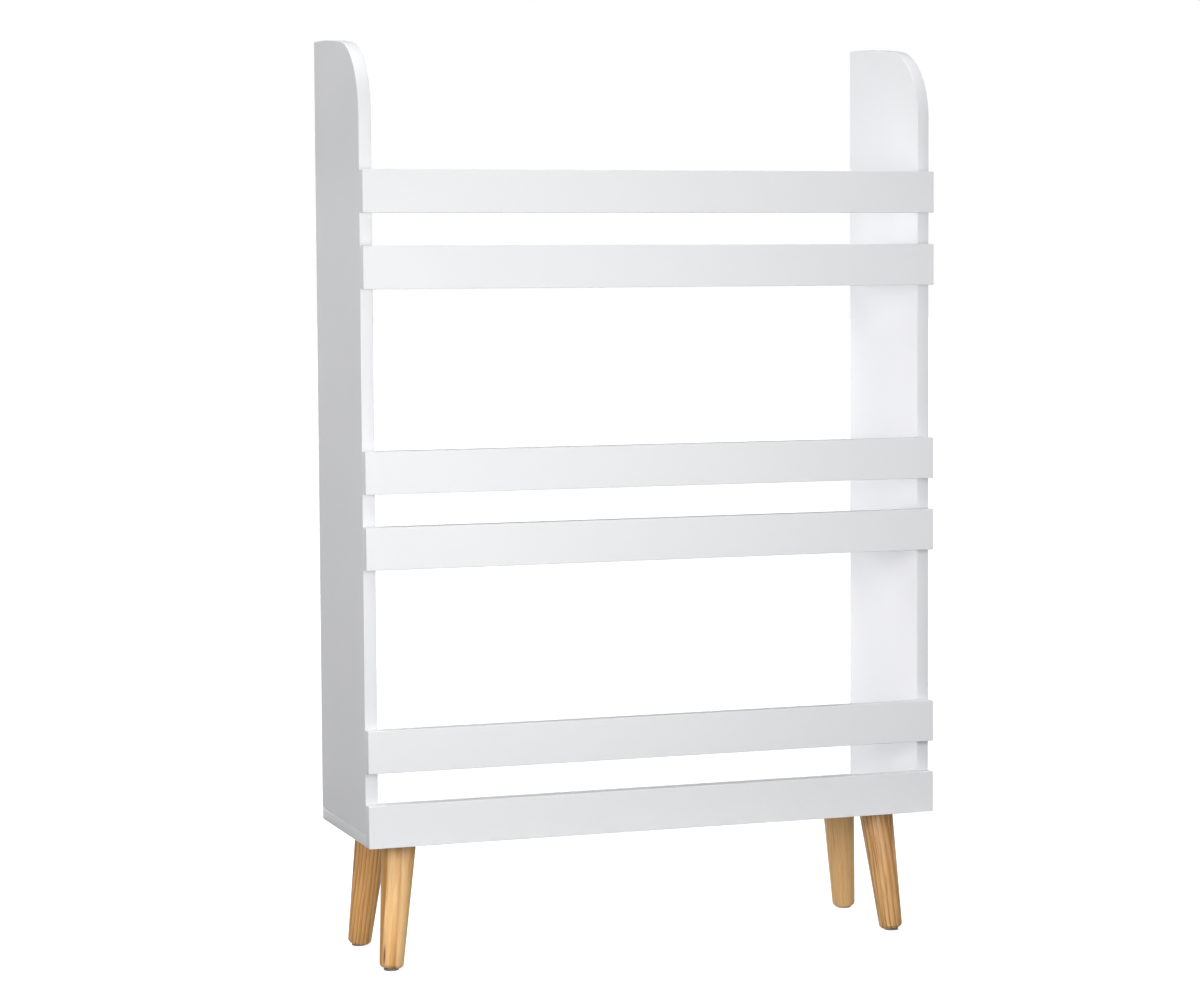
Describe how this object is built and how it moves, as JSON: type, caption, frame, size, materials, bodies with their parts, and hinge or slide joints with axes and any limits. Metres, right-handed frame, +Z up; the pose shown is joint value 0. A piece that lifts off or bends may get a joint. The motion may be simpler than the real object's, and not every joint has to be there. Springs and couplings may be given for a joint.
{
  "type": "front-facing bookcase",
  "caption": "Open, shallow child's bookcase: white sides, shelves and paired front rails that hold books cover-out, on splayed tapered wooden legs.",
  "frame": {"origin": "centre of the object's footprint, on the floor", "axes": "+Z up, -Y towards the reader (the railed front), +X to the right as seen from the front"},
  "size_m": [0.72, 0.22, 1.1],
  "materials": {
    "white_laminate": "white melamine-faced board, satin",
    "pine": "clear-varnished solid pine, satin",
    "steel": "zinc-plated steel",
    "zinc_casting": "die-cast zinc alloy, unpolished",
    "felt": "dark brown felt"
  },
  "bodies": {
    "root": {"left_side_panel": "white_laminate", "right_side_panel": "white_laminate", "bottom_panel": "white_laminate", "middle_shelf": "white_laminate", "top_shelf": "white_laminate", "bottom_tier_lower_rail": "white_laminate", "bottom_tier_upper_rail": "white_laminate", "middle_tier_lower_rail": "white_laminate", "middle_tier_upper_rail": "white_laminate", "top_tier_lower_rail": "white_laminate", "top_tier_upper_rail": "white_laminate", "middle_shelf_front_left_cam": "zinc_casting", "middle_shelf_front_left_cam_bolt": "steel", "middle_shelf_rear_left_cam": "zinc_casting", "middle_shelf_rear_left_cam_bolt": "steel", "middle_shelf_front_right_cam": "zinc_casting", "middle_shelf_front_right_cam_bolt": "steel", "middle_shelf_rear_right_cam": "zinc_casting", "middle_shelf_rear_right_cam_bolt": "steel", "top_shelf_front_left_cam": "zinc_casting", "top_shelf_front_left_cam_bolt": "steel", "top_shelf_rear_left_cam": "zinc_casting", "top_shelf_rear_left_cam_bolt": "steel", "top_shelf_front_right_cam": "zinc_casting", "top_shelf_front_right_cam_bolt": "steel", "top_shelf_rear_right_cam": "zinc_casting", "top_shelf_rear_right_cam_bolt": "steel", "bottom_tier_lower_rail_left_cam": "zinc_casting", "bottom_tier_lower_rail_right_cam": "zinc_casting", "bottom_tier_upper_rail_left_cam": "zinc_casting", "bottom_tier_upper_rail_right_cam": "zinc_casting", "middle_tier_lower_rail_left_cam": "zinc_casting", "middle_tier_lower_rail_right_cam": "zinc_casting", "middle_tier_upper_rail_left_cam": "zinc_casting", "middle_tier_upper_rail_right_cam": "zinc_casting", "top_tier_lower_rail_left_cam": "zinc_casting", "top_tier_lower_rail_right_cam": "zinc_casting", "top_tier_upper_rail_left_cam": "zinc_casting", "top_tier_upper_rail_right_cam": "zinc_casting", "bottom_screw_front_left": "steel", "bottom_screw_rear_left": "steel", "bottom_screw_front_right": "steel", "bottom_screw_rear_right": "steel", "front_left_leg": "pine", "front_left_leg_plate": "steel", "front_left_leg_hanger_bolt": "steel", "front_left_leg_felt_glide": "felt", "rear_left_leg": "pine", "rear_left_leg_plate": "steel", "rear_left_leg_hanger_bolt": "steel", "rear_left_leg_felt_glide": "felt", "front_right_leg": "pine", "front_right_leg_plate": "steel", "front_right_leg_hanger_bolt": "steel", "front_right_leg_felt_glide": "felt", "rear_right_leg": "pine", "rear_right_leg_plate": "steel", "rear_right_leg_hanger_bolt": "steel", "rear_right_leg_felt_glide": "felt"}
  },
  "joints": []
}
